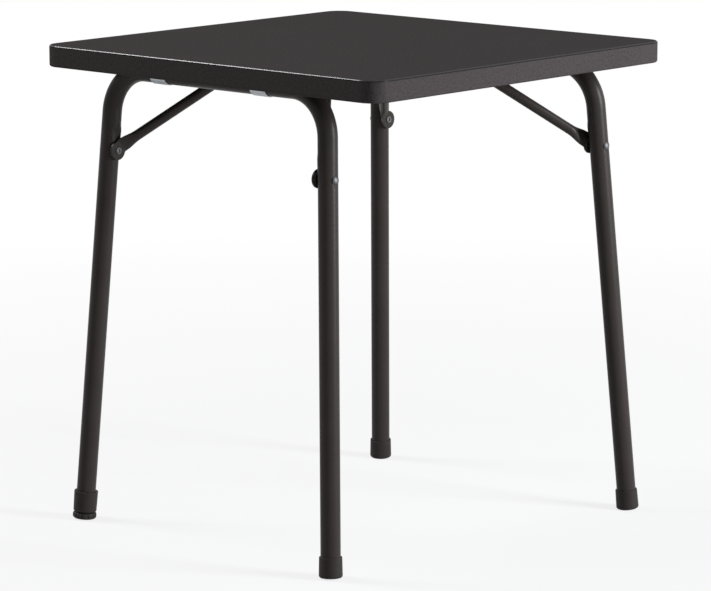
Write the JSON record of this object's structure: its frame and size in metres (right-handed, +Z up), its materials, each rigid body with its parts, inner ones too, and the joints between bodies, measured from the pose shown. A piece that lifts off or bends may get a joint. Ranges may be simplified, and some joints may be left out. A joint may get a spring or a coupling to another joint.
{
  "type": "folding card table",
  "caption": "Square folding card table with a dark moulded top, two bent tube leg frames, bow braces that lock them open, and a levelling foot.",
  "frame": {"origin": "on the floor, under the middle of the square top", "axes": "+Z up; the front leg frame stands on the -Y side, the rear one on the +Y side; the crossbars lie along X"},
  "size_m": [0.68, 0.68, 0.748],
  "materials": {
    "top_plastic": "fine grain moulded plastic",
    "leg_paint": "dark brown-black powder coat, satin",
    "foot_plastic": "matte",
    "saddle_steel": "zinc plated sheet, light grey",
    "rivet_steel": "zinc plated",
    "screw_steel": "zinc plated"
  },
  "bodies": {
    "top": {"table_top": "top_plastic", "saddle_front_left": "saddle_steel", "saddle_front_right": "saddle_steel", "saddle_rear_left": "saddle_steel", "saddle_rear_right": "saddle_steel", "saddle_screws": "screw_steel", "keeper_screws": "screw_steel", "front_brace_keeper": "saddle_steel", "rear_brace_keeper": "saddle_steel", "front_brace_latch": "rivet_steel", "rear_brace_latch": "rivet_steel"},
    "front_frame": {"front_leg_frame": "leg_paint", "foot_cap_front_right": "foot_plastic", "levelling_collar": "foot_plastic", "levelling_nut": "screw_steel", "front_brace_washers": "rivet_steel", "front_brace_rivets": "rivet_steel"},
    "rear_frame": {"rear_leg_frame": "leg_paint", "foot_cap_rear_left": "foot_plastic", "foot_cap_rear_right": "foot_plastic", "rear_brace_washers": "rivet_steel", "rear_brace_rivets": "rivet_steel"},
    "front_brace_bow": {"front_brace": "leg_paint"},
    "rear_brace_bow": {"rear_brace": "leg_paint"},
    "levelling_screw": {"levelling_stud": "screw_steel"},
    "levelling_wheel": {"levelling_knob": "foot_plastic"}
  },
  "joints": [
    {"name": "front_fold", "type": "hinge", "parent": "top", "child": "front_frame", "pos_m": [-0.041, -0.2607, 0.7107], "axis": [1, 0, 0], "range_deg": [0, 78.66], "deforming": ["front_brace_latch"]},
    {"name": "rear_fold", "type": "hinge", "parent": "top", "child": "rear_frame", "pos_m": [0.041, 0.2607, 0.7107], "axis": [-1, 0, 0], "range_deg": [0, 79.02], "deforming": ["rear_brace_latch"]},
    {"name": "front_brace_swing", "type": "hinge", "parent": "front_frame", "child": "front_brace_bow", "pos_m": [-0.041, -0.26787, 0.5849], "axis": [1, 0, 0], "range_deg": [-129, 0]},
    {"name": "rear_brace_swing", "type": "hinge", "parent": "rear_frame", "child": "rear_brace_bow", "pos_m": [0.041, 0.26997, 0.58504], "axis": [-1, 0, 0], "range_deg": [-108.1, 0]},
    {"name": "levelling_extend", "type": "slide", "parent": "front_frame", "child": "levelling_screw", "axis": [-0.0584, -0.0568, -0.9967], "range_m": [0, 0.00625]},
    {"name": "levelling_knob_turn", "type": "hinge", "parent": "levelling_screw", "child": "levelling_wheel", "pos_m": [-0.3016, -0.30111, 0.00123], "axis": [-0.0584, -0.0568, -0.9967], "range_deg": [0, 1801]}
  ],
  "couplings": [
    {"joint": "front_brace_swing", "follows": "front_fold", "ratio": -1.6371},
    {"joint": "rear_brace_swing", "follows": "rear_fold", "ratio": -1.3653},
    {"joint": "levelling_knob_turn", "follows": "levelling_extend", "rad_per_m": 5026.5}
  ]
}
